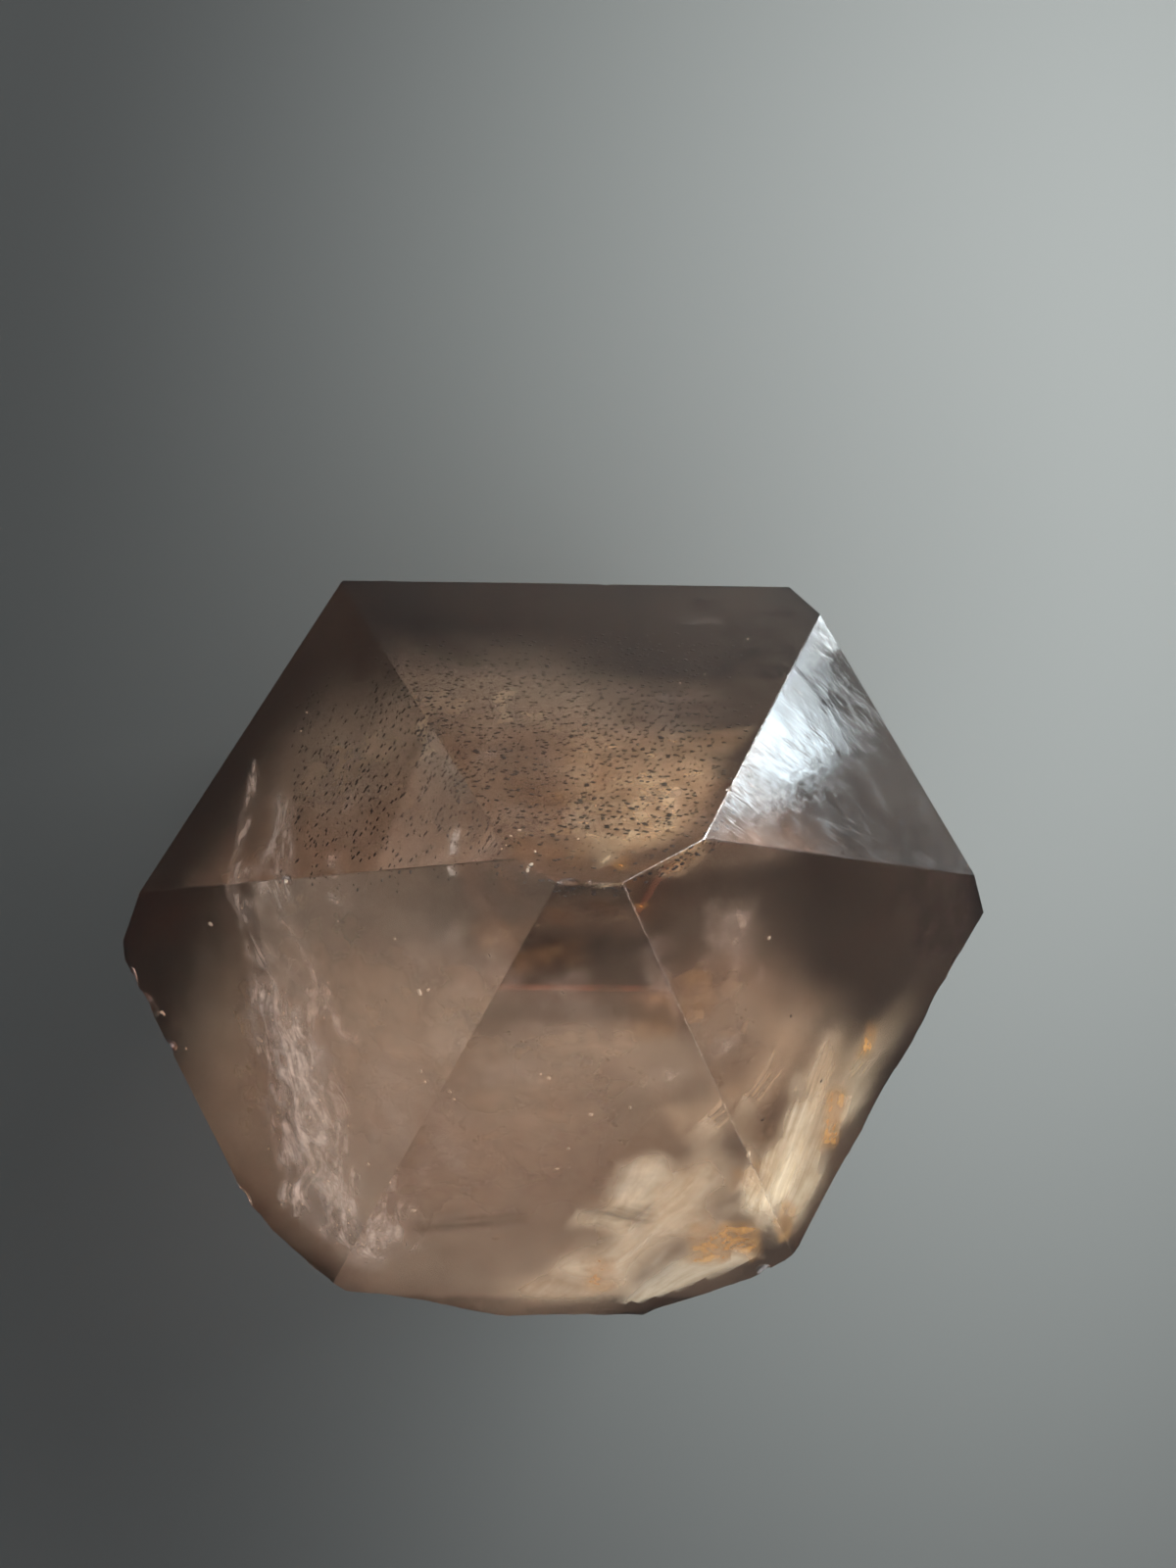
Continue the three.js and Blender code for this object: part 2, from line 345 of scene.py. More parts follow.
# %% Quartz: where it is dull
SCRATCH_LONG, SCRATCH_WIDE = 2.0, 0.18  # millimetres
SCRATCH_WAY = math.radians(-62)
WEAR_PATCH = 5.0  # millimetres
POLISH, BREAK = 0.03, 0.22  # roughness
quartz, tree, out = new_material("polished_smoky_quartz")
where = add(tree, "ShaderNodeTexCoord").outputs["Object"]
is_broken = add(tree, "ShaderNodeAttribute", {"attribute_name": "broken"}).outputs["Fac"]
is_scuffed = add(tree, "ShaderNodeAttribute", {"attribute_name": "scuffed"}).outputs["Fac"]
along = add(tree, "ShaderNodeMapping", Vector=where, Rotation=(0, 0, SCRATCH_WAY))
stretched = add(
    tree, "ShaderNodeMapping", Vector=along.outputs["Vector"],
    Scale=(1 / (SCRATCH_WIDE * MM), 1 / (SCRATCH_LONG * MM), 1 / (SCRATCH_LONG * MM)),
)
scratches = add(tree, "ShaderNodeTexNoise", Vector=stretched.outputs["Vector"], Scale=1.0, Detail=2.0)
wear = add(tree, "ShaderNodeTexNoise", Vector=where, Scale=1 / (WEAR_PATCH * MM), Detail=4.0, Roughness=0.65)
dulled = add(
    tree, "ShaderNodeMapRange", Value=wear.outputs["Fac"], From_Min=0.4, From_Max=0.7, To_Min=0.03,
    To_Max=0.17,
)
gouged = add(
    tree, "ShaderNodeMapRange", Value=scratches.outputs["Fac"], From_Min=0.54, From_Max=0.68, To_Max=0.09,
)
worn = add(
    tree, "ShaderNodeMath", {"operation": "ADD"}, _0=dulled.outputs["Result"], _1=gouged.outputs["Result"],
)
worn = add(tree, "ShaderNodeMath", {"operation": "MULTIPLY"}, _0=is_scuffed, _1=worn.outputs["Value"])
rough = add(
    tree, "ShaderNodeMath", {"operation": "MULTIPLY_ADD"}, _0=is_broken, _1=BREAK, _2=worn.outputs["Value"],
)
rough = add(tree, "ShaderNodeMath", {"operation": "ADD"}, _0=rough.outputs["Value"], _1=POLISH)

# %% [markdown]
# Bumps do the rest. The scratches dent the surface a little, and the worn face is also gently uneven.
# The broken sides have a silky grain that is too fine for the mesh. Each bump takes the normal of the
# one before it, so they add up.

# %% Quartz: what dents its surface
MOTTLE_SIZE, SILK_SIZE = 3.0, 0.9  # millimetres
SCRATCH_DEEP, MOTTLE_DEEP, SILK_DEEP = 0.05, 0.06, 0.15  # millimetres, at full strength
scratch_share = add(tree, "ShaderNodeMath", {"operation": "MULTIPLY_ADD"}, _0=is_scuffed, _1=0.06, _2=0.012)
scratched = add(
    tree, "ShaderNodeBump", Strength=scratch_share.outputs["Value"], Distance=SCRATCH_DEEP * MM,
    Height=scratches.outputs["Fac"],
)
mottle = add(
    tree, "ShaderNodeTexNoise", Vector=where, Scale=1 / (MOTTLE_SIZE * MM), Detail=3.0, Roughness=0.55,
)
mottle_share = add(tree, "ShaderNodeMath", {"operation": "MULTIPLY"}, _0=is_scuffed, _1=0.45)
mottled = add(
    tree, "ShaderNodeBump", Strength=mottle_share.outputs["Value"], Distance=MOTTLE_DEEP * MM,
    Height=mottle.outputs["Fac"], Normal=scratched.outputs["Normal"],
)
silk = add(tree, "ShaderNodeTexNoise", Vector=where, Scale=1 / (SILK_SIZE * MM), Detail=3.0, Roughness=0.6)
silk_share = add(tree, "ShaderNodeMath", {"operation": "MULTIPLY"}, _0=is_broken, _1=0.8)
silky = add(
    tree, "ShaderNodeBump", Strength=silk_share.outputs["Value"], Distance=SILK_DEEP * MM,
    Height=silk.outputs["Fac"], Normal=mottled.outputs["Normal"],
)

# %% [markdown]
# Smoky quartz is clear: light goes through it, bends by quartz's index of 1.544, and loses a little
# of every colour on the way, blue most. That loss is the volume's absorption, per metre. It makes
# thick places brown and leaves thin edges nearly clear.

# %% Quartz: clear and brown
SMOKE_COLOUR, SMOKE_PER_METRE = "c08f66", 36.0
shader = add(
    tree, "ShaderNodeBsdfPrincipled", Base_Color=(1, 1, 1, 1), Roughness=rough.outputs["Value"],
    IOR=QUARTZ_IOR, Transmission_Weight=1.0, Normal=silky.outputs["Normal"],
)
smoke = add(tree, "ShaderNodeVolumeAbsorption", Color=linear(SMOKE_COLOUR), Density=SMOKE_PER_METRE)
tree.links.new(shader.outputs["BSDF"], out.inputs["Surface"])
tree.links.new(smoke.outputs["Volume"], out.inputs["Volume"])

crystal = new_object("quartz_point", crystal_mesh, quartz)
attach(crystal, "root")
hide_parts("quartz_crystal")

# %% [markdown]
# The films inside. Cracks that opened and healed while the crystal grew leave thin, wavy sheets of
# tiny bubbles. Each is made as one wavy sheet between four corners, with a number at each vertex for
# how thick the bubbles lie. The number falls to nothing at the sheet's border and near the crystal's
# surface, so that no straight border shows. Two more numbers, how pale and how streaky the film is,
# let one material serve many films.

# %% Wavy sheets
FILM_STEP = 1.2  # millimetres between the vertices of a sheet


def smooth_step(value, start, end):
    """0 before the start, 1 after the end, and a soft rise between them."""
    share = min(1.0, max(0.0, (value - start) / (end - start)))
    return share * share * (3 - 2 * share)


def add_film(
    bm, layers, seed, corners, wave, wavelength, border, strength, pale=0.0, streak=0.0, field=None,
    shape=None, clear=3.0, step=FILM_STEP, fade=0.0,
):
    """Adds one sheet between four corners. Streaks run along its first side.

    The sheet waves by "wave" millimetres, stays "clear" millimetres inside the crystal and thins out
    over its border. "fade" thins it along its first side too. A field gives the thickness at a
    point, and a shape moves a point of the flat sheet to its real place.
    """
    a, b, c, d = corners
    wide, tall = max((b - a).length, (c - d).length), max((d - a).length, (c - b).length)
    columns, rows = max(8, round(wide / step)), max(8, round(tall / step))
    normal = (b - a).cross(d - a).normalized()
    shift = Vector((seed * 17.3, seed * 5.1, seed * 9.7))  # another piece of the noise for each sheet
    grid = []
    for row in range(rows + 1):
        v = row / rows
        for column in range(columns + 1):
            u = column / columns
            p = (a * (1 - u) + b * u) * (1 - v) + (d * (1 - u) + c * u) * v
            p = (shape(p) if shape else p) + normal * wave * noise.noise(p / wavelength + shift)
            edge = min(min(u, 1 - u) * wide, min(v, 1 - v) * tall)
            ragged = edge + border * 0.6 * noise.noise(p / (border * 0.7) + shift)
            inside = depth_inside(p)
            thick = strength * smooth_step(ragged, 0, border)
            thick *= smooth_step(inside, min(0.4, clear), clear + 0.05)
            thick *= (field(p) if field else 1.0) * (1 - fade * smooth_step(u, 0.25, 1.0))
            vert = bm.verts.new(top + p * MM)
            vert[layers["thick"]] = thick
            vert[layers["pale"]] = pale
            vert[layers["streak"]] = streak
            grid.append((vert, inside > min(0.3, clear), (u * wide, v * tall)))
    for row in range(rows):
        for column in range(columns):
            index = row * (columns + 1) + column
            four = [grid[index], grid[index + 1], grid[index + columns + 2], grid[index + columns + 1]]
            all_inside = all(inside for _, inside, _ in four)
            if not all_inside or sum(vert[layers["thick"]] for vert, _, _ in four) <= 0:
                continue
            face = bm.faces.new([vert for vert, _, _ in four])
            face.smooth = True
            for loop, (_, _, uv) in zip(face.loops, four):
                loop[layers["uv"]].uv = uv


def film_mesh(name, films):
    """One mesh from a list of sheets. Its UV map counts millimetres along each sheet."""
    bm = bmesh.new()
    layers = {key: bm.verts.layers.float.new(key) for key in ("thick", "pale", "streak")}
    layers["uv"] = bm.loops.layers.uv.new("along_the_sheet")
    for seed, film in enumerate(films, start=1):
        add_film(bm, layers, seed, **film)
    bmesh.ops.delete(bm, geom=[v for v in bm.verts if not v.link_faces], context="VERTS")
    mesh = bpy.data.meshes.new(name)
    bm.to_mesh(mesh)
    bm.free()
    print(name, len(films), "sheets", len(mesh.polygons), "faces")
    return mesh


# %% [markdown]
# What a film of bubbles looks like. The bubbles scatter light back, so a film is a pale, rough
# surface that is see-through between them. Where it formed as a cloud, its thickness follows a
# cloudy noise. Where it formed as silk, the noise is drawn out along the sheet into threads, and a
# second, slower noise makes the threads wander. Both noises come from real sizes in millimetres.

# %% The look of a film
def film_material(
    name, dark, light, most=1.0, least=0.3, rough=0.5, cloud=2.2, thread=(6, 2), bounds=(0.4, 0.65),
    curl=0.3, wander=7, relief=0.1, gloss=0.5,
):
    """Tiny bubbles in a sheet, from dark to light. Alpha goes from least to most, and sizes are in mm.

    "cloud" is the size of a puff, "thread" how long and wide a thread is, "bounds" the part of the
    thread noise that is used, and "relief" how far the pattern stands out.
    """
    material, tree, out = new_material(name)
    where = add(tree, "ShaderNodeTexCoord").outputs["Object"]
    along = add(tree, "ShaderNodeUVMap", {"uv_map": "along_the_sheet"}).outputs["UV"]
    thick = add(tree, "ShaderNodeAttribute", {"attribute_name": "thick"}).outputs["Fac"]
    pale = add(tree, "ShaderNodeAttribute", {"attribute_name": "pale"}).outputs["Fac"]
    streak = add(tree, "ShaderNodeAttribute", {"attribute_name": "streak"}).outputs["Fac"]
    puffs = add(tree, "ShaderNodeTexNoise", Vector=where, Scale=1 / (cloud * MM), Detail=6.0, Roughness=0.62)
    clouded = add(tree, "ShaderNodeMapRange", Value=puffs.outputs["Fac"], From_Min=0.36, From_Max=0.68)
    drift = add(tree, "ShaderNodeTexNoise", Vector=where, Scale=1 / (9 * MM), Detail=1.0)
    wandering = add(
        tree, "ShaderNodeVectorMath", {"operation": "MULTIPLY_ADD"}, _0=drift.outputs["Color"],
        _1=(wander, wander, 0), _2=along,
    )
    drawn = add(
        tree, "ShaderNodeMapping", Vector=wandering.outputs["Vector"],
        Scale=(1 / thread[0], 1 / thread[1], 1.0),
    )
    threads = add(
        tree, "ShaderNodeTexNoise", Vector=drawn.outputs["Vector"], Scale=1.0, Detail=6.0, Roughness=0.6,
        Distortion=curl,
    )
    threaded = add(
        tree, "ShaderNodeMapRange", Value=threads.outputs["Fac"], From_Min=bounds[0], From_Max=bounds[1],
    )
    pattern = add(
        tree, "ShaderNodeMix", {"data_type": "FLOAT"}, Factor=streak, A=clouded.outputs["Result"],
        B=threaded.outputs["Result"],
    )
    spread = add(
        tree, "ShaderNodeMath", {"operation": "MULTIPLY_ADD"}, _0=pattern.outputs[0], _1=1 - least, _2=least,
    )
    amount = add(tree, "ShaderNodeMath", {"operation": "MULTIPLY"}, _0=spread.outputs["Value"], _1=thick)
    alpha = add(tree, "ShaderNodeMath", {"operation": "MULTIPLY"}, _0=amount.outputs["Value"], _1=most)
    lighter = add(tree, "ShaderNodeMath", {"operation": "MULTIPLY"}, _0=pattern.outputs[0], _1=pale)
    colour = add(
        tree, "ShaderNodeMix", {"data_type": "RGBA"}, Factor=lighter.outputs["Value"], _6=linear(dark),
        _7=linear(light),
    )
    lumps = add(tree, "ShaderNodeBump", Strength=1.0, Distance=relief * MM, Height=pattern.outputs[0])
    shader = add(
        tree, "ShaderNodeBsdfPrincipled", Base_Color=colour.outputs[2], Roughness=rough,
        Specular_IOR_Level=gloss, Alpha=alpha.outputs["Value"], Normal=lumps.outputs["Normal"],
    )
    tree.links.new(shader.outputs["BSDF"], out.inputs["Surface"])
    material.use_transparent_shadow = False  # the quartz around it stops such light anyway
    return material


# %% [markdown]
# Milky haze. Smoky quartz of this kind is never quite clear: clouds of bubbles too small to see
# lighten it to a warm grey. A scattering volume would show that too, but it is slow and noisy inside
# glass. Five thin layers under the sloping faces look much the same. They follow the faces, with the
# edges between them rounded, so that no crease shows as a line.

# %% Layers that follow the sloping faces
ROUNDING = 5.0  # millimetres


def roof(p):
    """How high the sloping faces stand above a point, with the edges between them rounded."""
    total = 0.0
    for azimuth, reach in SLOPING.values():
        normal = facing(azimuth, SLOPE)
        height = (reach - normal.x * p.x - normal.y * p.y) / normal.z
        total += math.exp(-height / ROUNDING)
    return -ROUNDING * math.log(total)


# %% [markdown]
# The haze isn't even. It is thick in the middle, and the back and the corners at the left and right
# stay dark and clear. Towards the front it thins out again, because most of the light comes in
# there. Each clear place is a soft step in one direction, and leans with the depth, because the
# sight lines do so too. Multiplied together and with a cloudy noise, they give how thick the haze
# is at any point.

# %% Where the haze is thick
CLOUD_SIZE, WISP_SIZE = 16.0, 3.0  # millimetres
CLEAREST = 0.04  # even a clear place has this share of the haze


def haze_share(p):
    """How thick the haze is at a point, from 0 to 1."""
    down = roof(p) - p.z  # how far below the faces
    cloud = 0.92 + 0.5 * noise.fractal(p / CLOUD_SIZE, 0.8, 2.2, 3)
    cloud += 0.22 * noise.fractal(p / WISP_SIZE, 0.7, 2.0, 2)
    share = 1 - smooth_step(p.y + 0.37 * down, 18, 30)  # clear at the back
    slab = 1 - smooth_step(abs(p.y + 5.5 - 0.36 * down), 5, 8)  # a clear band under the front face
    slab *= 1 - smooth_step(down, 50, 75)
    share *= 1 - (0.25 + 0.5 * smooth_step(p.x, -8, -1)) * slab
    share *= 1 - smooth_step(0.8 * p.x + 0.6 * p.y + 0.2 * down, 10, 22)  # clear at the right
    share *= 1 - smooth_step(-0.9 * p.x + 0.45 * p.y + 0.3 * down, 26, 36)  # and at the left corner
    share *= 1 - 0.25 * smooth_step(p.x, -6, 20) - 0.6 * smooth_step(-p.y, 0, 22)  # thin in front
    return (CLEAREST + (1 - CLEAREST) * share) * min(1.0, max(0.0, cloud))


# %% [markdown]
# The layers are large sheets. Each starts as a level square and is then bent to the roof's shape, a
# given depth below it. Deeper layers are flatter and thicker, so the crystal gets milkier downwards.

# %% Haze
HAZE = [  # depth below the top, share of the roof's height, strength
    (13, 1.0, 0.2), (24, 0.95, 0.34), (37, 0.85, 0.42), (52, 0.75, 0.5), (68, 0.6, 0.55),
]
REACH = 46  # millimetres from the axis to the square's sides
SQUARE = [Vector((i * REACH, j * REACH, 0)) for i, j in ((-1, -1), (1, -1), (1, 1), (-1, 1))]


def haze_layer(depth, flatness, strength):
    """A cloud layer under all six faces, with its clear places."""

    def domed(p):
        return Vector((p.x, p.y, roof(p) * flatness - depth))

    return dict(
        corners=SQUARE, wave=2.0, wavelength=20, border=8, strength=strength, field=haze_share,
        shape=domed, clear=5, step=2.2,
    )


# %% [markdown]
# Bubbles too small to see one by one scatter all light the same way and have no gloss, so the haze is
# a plain pale colour with no highlight. The quartz in front of it gives it its brown.

# %% Milky bubbles
PUFF_SIZE = 3.5  # millimetres
milk, tree, out = new_material("milky_bubbles")
thick = add(tree, "ShaderNodeAttribute", {"attribute_name": "thick"}).outputs["Fac"]
where = add(tree, "ShaderNodeTexCoord").outputs["Object"]
puffs = add(tree, "ShaderNodeTexNoise", Vector=where, Scale=1 / (PUFF_SIZE * MM), Detail=5.0, Roughness=0.6)
uneven = add(
    tree, "ShaderNodeMapRange", Value=puffs.outputs["Fac"], From_Min=0.3, From_Max=0.7, To_Min=0.65,
    To_Max=1.35,
)
faint = add(tree, "ShaderNodeMath", {"operation": "MULTIPLY"}, _0=thick, _1=uneven.outputs["Result"])
shader = add(
    tree, "ShaderNodeBsdfPrincipled", Base_Color=linear("e6e0ca"), Roughness=0.9, Specular_IOR_Level=0.0,
    Alpha=faint.outputs["Value"],
)
tree.links.new(shader.outputs["BSDF"], out.inputs["Surface"])
milk.use_transparent_shadow = False
haze_films = [haze_layer(*layer) for layer in HAZE]
inside_piece("haze_clouds", film_mesh("haze_clouds", haze_films), milk)

# %% [markdown]
# Veils, silk and stains. Each is a sheet between four points of the picture, each with its depth in
# millimetres behind a face. The first two points give the way its threads run. Most are simple
# patches, so a second helper takes only the patch's left, right, upper and lower edge.

# %% Films seen through a face
def behind(
    face, points, strength, pale=0.8, streak=0.7, wave=1.6, wavelength=7, border=2.5, fade=0.0,
    clear=3.0, field=None,
):
    """A sheet whose corners show at these points of the picture, (across, down, depth)."""
    return dict(
        corners=[seen_through(face, *point) for point in points], strength=strength, pale=pale,
        streak=streak, wave=wave, wavelength=wavelength, border=border, fade=fade, clear=clear,
        field=field,
    )


def patch(
    face, left, right, upper, lower, depth, strength, pale=0.8, streak=0.0, border=1.6, wave=0.8,
    clear=3.0,
):
    """A sheet behind a face that faces the lens, between these edges in the picture."""
    points = [
        (left, lower, depth), (right, lower, depth + 1), (right, upper, depth + 2), (left, upper, depth + 1),
    ]
    return behind(
        face, points, strength, pale, streak, wave=wave, wavelength=5, border=border, clear=clear,
    )


def clumps(p):
    """Bubbles gather in clumps a few millimetres wide."""
    return 0.25 + 0.75 * smooth_step(noise.fractal(p / 4, 0.8, 2.1, 3), -0.45, 0.15)


# %% [markdown]
# Veils are healed cracks. The large one stands at the left like a torn curtain, and small ones shine
# here and there under the other faces. They are pale, clumpy and a little threadlike.

# %% Veils
veil = film_material(
    "healed_veil", "a0917f", "faf6ee", least=0.15, cloud=1.6, thread=(3.4, 1.2), bounds=(0.39, 0.6),
    relief=0.2,
)
VEILS = [
    behind(
        "front_left", [(236, 975, 6), (296, 1295, 5), (390, 1262, 15), (338, 965, 20)],
        strength=1.0, pale=0.9, streak=0.6, wave=2.6, wavelength=8, border=4, field=clumps,
    ),
    behind(
        "front_left", [(258, 1020, 6), (298, 1196, 6), (360, 1172, 12), (322, 1010, 12)],
        strength=1.0, pale=1.0, streak=0.5, border=3.5,
    ),
    behind(
        "front_left", [(226, 900, 4), (300, 1140, 9), (334, 1120, 13), (264, 905, 9)],
        strength=0.7, pale=0.9, field=clumps,
    ),
    behind(
        "front_left", [(268, 935, 10), (350, 1090, 14), (372, 1066, 17), (300, 925, 13)],
        strength=0.6, field=clumps,
    ),
    behind(
        "front_left", [(286, 1180, 4), (350, 1310, 4), (392, 1280, 10), (340, 1170, 10)],
        strength=0.8, pale=0.7, streak=0.5, field=clumps,
    ),
    behind(
        "back_left", [(256, 770, 4), (228, 900, 6), (246, 903, 9), (270, 780, 6)],
        strength=0.6, pale=0.9, streak=0.9, border=1.4,
    ),
    behind(
        "back_left", [(282, 800, 5), (256, 898, 7), (300, 903, 10), (306, 812, 7)],
        strength=0.6, pale=0.9, streak=0.8, border=1.5,
    ),
    patch("back_left", 326, 352, 868, 898, depth=8, strength=0.5, pale=0.95, streak=0.5),
    patch("back_left", 456, 472, 838, 874, depth=4, strength=0.7, pale=1.0, streak=0.3, border=0.8),
    patch("back", 486, 508, 760, 776, depth=7, strength=0.5, pale=0.9, streak=0.4),
    patch("back", 545, 572, 772, 784, depth=7, strength=0.5, pale=0.9, streak=0.4),
    patch("back", 664, 690, 704, 717, depth=6, strength=0.5, pale=0.9, streak=0.4),
    patch("back", 690, 740, 628, 638, depth=5, strength=0.1, pale=0.9, streak=0.9, border=0.8),
    patch("front", 652, 706, 1084, 1112, depth=14, strength=0.5, pale=0.95, streak=0.3),
    patch("front_right", 735, 752, 1010, 1024, depth=10, strength=0.6, pale=0.95),
]
inside_piece("veils", film_mesh("veils", VEILS), veil)

# %% [markdown]
# Clouds are softer than veils: bubbles so fine that they look like breath on a window. They have
# large puffs, hardly any relief and a dull surface.

# %% Clouds
cloudy = film_material(
    "cloudy_film", "b3a595", "f4f2ec", most=0.8, rough=0.8, cloud=3.2, bounds=(0.35, 0.7), relief=0.04,
)
CLOUDS = [
    patch("front_left", 368, 432, 1046, 1186, depth=14, strength=0.45, pale=0.7, streak=0.1, border=3),
    patch("front_left", 410, 482, 925, 1000, depth=16, strength=0.35, border=3),
    patch("back_left", 318, 384, 785, 872, depth=14, strength=0.5, pale=0.9, border=3),
    patch("back", 612, 760, 690, 760, depth=18, strength=0.25, pale=0.7, border=4),
    patch("front", 506, 626, 985, 1066, depth=18, strength=0.5, pale=0.85, border=4),
    patch("front", 480, 560, 1076, 1110, depth=14, strength=0.4, pale=0.9, streak=0.3),
    patch("front_right", 712, 778, 915, 1002, depth=16, strength=0.6, pale=0.9, border=3),
    behind(
        "front_left", [(240, 950, 12), (288, 1296, 8), (376, 1272, 14), (334, 950, 18)],
        strength=0.45, pale=0.9, streak=0.2, border=6,
    ),
    patch("front_left", 286, 344, 1050, 1136, depth=9, strength=0.7, pale=1.0, streak=0.3, border=3),
]
inside_piece("clouds", film_mesh("clouds", CLOUDS), cloudy)

# %% [markdown]
# Satin. Near the broken front, open cracks lie one under the other and shine like satin, because air
# in a crack sends nearly all light back. The sheets lie at clearly different depths and wave little,
# so that they don't cut through each other in bright lines.

# %% Satin
satin = film_material(
    "satin_fracture", "ecd2a6", "fff6dc", least=0.6, cloud=6, thread=(10, 2.0), bounds=(0.25, 0.7),
    relief=0.08,
)
SATIN = [
    behind(
        "front", [(470, 1335, 9), (700, 1100, 20), (815, 1215, 14), (620, 1345, 8)],
        strength=0.55, streak=0.5, wave=1.5, border=8, fade=0.5,
    ),
    behind(
        "front", [(550, 1300, 7.5), (722, 1135, 11), (784, 1216, 9), (645, 1334, 6.5)],
        strength=0.95, pale=1.0, streak=0.5, wave=0.8, border=8,
    ),
    behind(
        "front", [(570, 1256, 5.5), (650, 1160, 7), (726, 1200, 6), (640, 1272, 5)],
        strength=0.95, pale=1.0, streak=0.6, wave=0.5, border=5.5,
    ),
    behind(
        "front", [(600, 1345, 2), (735, 1225, 3.6), (790, 1290, 2.4), (660, 1350, 2)],
        strength=0.6, pale=1.0, wave=0.4, border=5, clear=1.2,
    ),
]
inside_piece("satin", film_mesh("satin", SATIN), satin)

# %% [markdown]
# Feathers. At the right the cracks spread from the rim in long, thin rays. The threads are four times
# as long as in a veil and wander less, and each sheet fades away from the rim.

# %% Feathers
feather = film_material(
    "feathery_fracture", "e4c898", "fff6dc", least=0.45, cloud=3, thread=(14, 1.1), bounds=(0.3, 0.64),
    relief=0.1, wander=3,
)
FEATHERS = [
    behind(
        "front_right", [(745, 1262, 4), (850, 1010, 12), (930, 1050, 6), (815, 1275, 3)],
        strength=0.7, streak=0.6, wave=2, border=6, fade=0.7,
    ),
    behind(
        "front_right", [(754, 1240, 3.5), (808, 1085, 7), (856, 1096, 6), (800, 1252, 3.5)],
        strength=0.9, pale=1.0, wave=1, border=4, fade=0.4,
    ),
    behind(
        "front_right", [(762, 1240, 7), (838, 1040, 11), (872, 1060, 9), (806, 1245, 6)],
        strength=1.0, pale=1.0, streak=0.95, border=4, fade=0.5,
    ),
    behind(
        "front_right", [(775, 1235, 3), (800, 1160, 5), (824, 1170, 4), (800, 1240, 3)],
        strength=1.0, pale=1.0, streak=0.9, border=2, fade=0.3,
    ),
    behind(
        "front_right", [(715, 1130, 12), (812, 975, 20), (880, 1010, 15), (775, 1190, 9)],
        strength=0.4, streak=0.8, border=6, fade=0.8,
    ),
    behind(
        "front_right", [(800, 1140, 7), (925, 985, 9), (965, 1015, 4), (870, 1150, 3)],
        strength=0.4, pale=0.7, streak=0.9, border=5, fade=0.8,
    ),
    behind(
        "front", [(560, 1290, 4.2), (735, 1130, 5.4), (790, 1215, 4.6), (640, 1330, 3.4)],
        strength=0.35, pale=1.0, streak=1.0, wave=0.5, border=6, fade=0.5,
    ),
]
inside_piece("feathers", film_mesh("feathers", FEATHERS), feather)

# %% [markdown]
# A golden glow and iron. Just under the point a thin, pale golden film is painted light: it turns the
# haze golden and stands in for warm light shining up through the crystal. At the rim a little iron got
# into the cracks as limonite, an earthy orange-brown crust: rough, nearly opaque and stronger in the
# middle of each patch. One small patch of that film, under the back face near the point, is a painted
# amber glint.

# %% Painted golden glow, limonite and a painted glint
painted_glow = film_material(
    "golden_haze", "c2905c", "ffe8c0", most=0.8, least=0.5, thread=(4, 1.6), bounds=(0.35, 0.7),
    relief=0.05,
)
limonite_and_painted_glint = film_material(
    "limonite_and_painted_glint", "94602f", "dca654", most=0.85, rough=0.8, cloud=1.6, thread=(3, 1.5), bounds=(0.3, 0.7),
    relief=0.05,
)
# painted light: a warm golden glow under the point, as if light shone up through the crystal
PAINTED_GLOW = [
    behind(
        "back", [(566, 892, 1.6), (708, 854, 2), (776, 740, 7), (556, 740, 7)],
        strength=0.5, pale=0.7, streak=0.0, wave=0.6, border=4, clear=0.8,
    ),
    behind(
        "back", [(604, 890, 1.4), (700, 854, 2), (748, 776, 5), (618, 776, 5)],
        strength=0.6, pale=0.9, streak=0.2, wave=0.6, border=3, clear=0.8,
    ),
    patch("back", 636, 690, 815, 868, depth=3.6, strength=0.7, pale=1.0, streak=0.5, border=2, wave=0.5),
]
STAINS_AND_PAINTED_GLINT = [
    patch("front", 698, 780, 1244, 1292, depth=1.5, strength=1.0, pale=1.0, streak=0.3, clear=0.6),
    patch("front", 592, 632, 1282, 1318, depth=1.5, strength=0.9, pale=0.6, border=1.4, clear=0.6),
    patch("front", 742, 776, 1188, 1218, depth=2.4, strength=0.7, border=1.4, clear=1),
    behind(
        "front_right", [(832, 1174, 2), (846, 1106, 3), (868, 1110, 3), (856, 1174, 2)],
        strength=1.0, streak=0.5, border=1.2, clear=1,
    ),
    behind(
        "front_right", [(872, 1082, 2), (882, 1038, 3), (898, 1042, 3), (890, 1082, 2)],
        strength=0.9, pale=1.0, streak=0.4, border=1, clear=1,
    ),
    behind(
        "front_right", [(782, 1268, 2), (796, 1218, 2), (814, 1222, 2), (804, 1270, 2)],
        strength=0.8, pale=0.7, streak=0.4, border=1, clear=1,
    ),
    patch("front_left", 424, 450, 1004, 1042, depth=10, strength=0.4, pale=0.2, border=1.5),
    patch("back_left", 400, 440, 780, 846, depth=12, strength=0.35, pale=0.3, border=2.5),
    patch("back_left", 462, 504, 810, 850, depth=12, strength=0.35, pale=0.3, border=2.5),
    patch("back", 592, 634, 766, 812, depth=9, strength=0.5, pale=0.4, border=2),
    patch("back", 552, 592, 806, 854, depth=8, strength=0.45, pale=0.4, border=2),
    # painted highlight: an amber glint, painted as a small patch of this film
    patch("back", 618, 646, 872, 892, depth=5, strength=0.7, pale=0.9, border=1.2),
    patch("front_left", 478, 560, 934, 978, depth=9, strength=0.4, pale=0.5, border=1.0),
    patch("front", 636, 700, 1012, 1064, depth=9, strength=0.3, border=1.2),
]
inside_piece("golden_patch", film_mesh("golden_patch", PAINTED_GLOW), painted_glow)
inside_piece("stains_and_painted_glint", film_mesh("stains_and_painted_glint", STAINS_AND_PAINTED_GLINT), limonite_and_painted_glint)
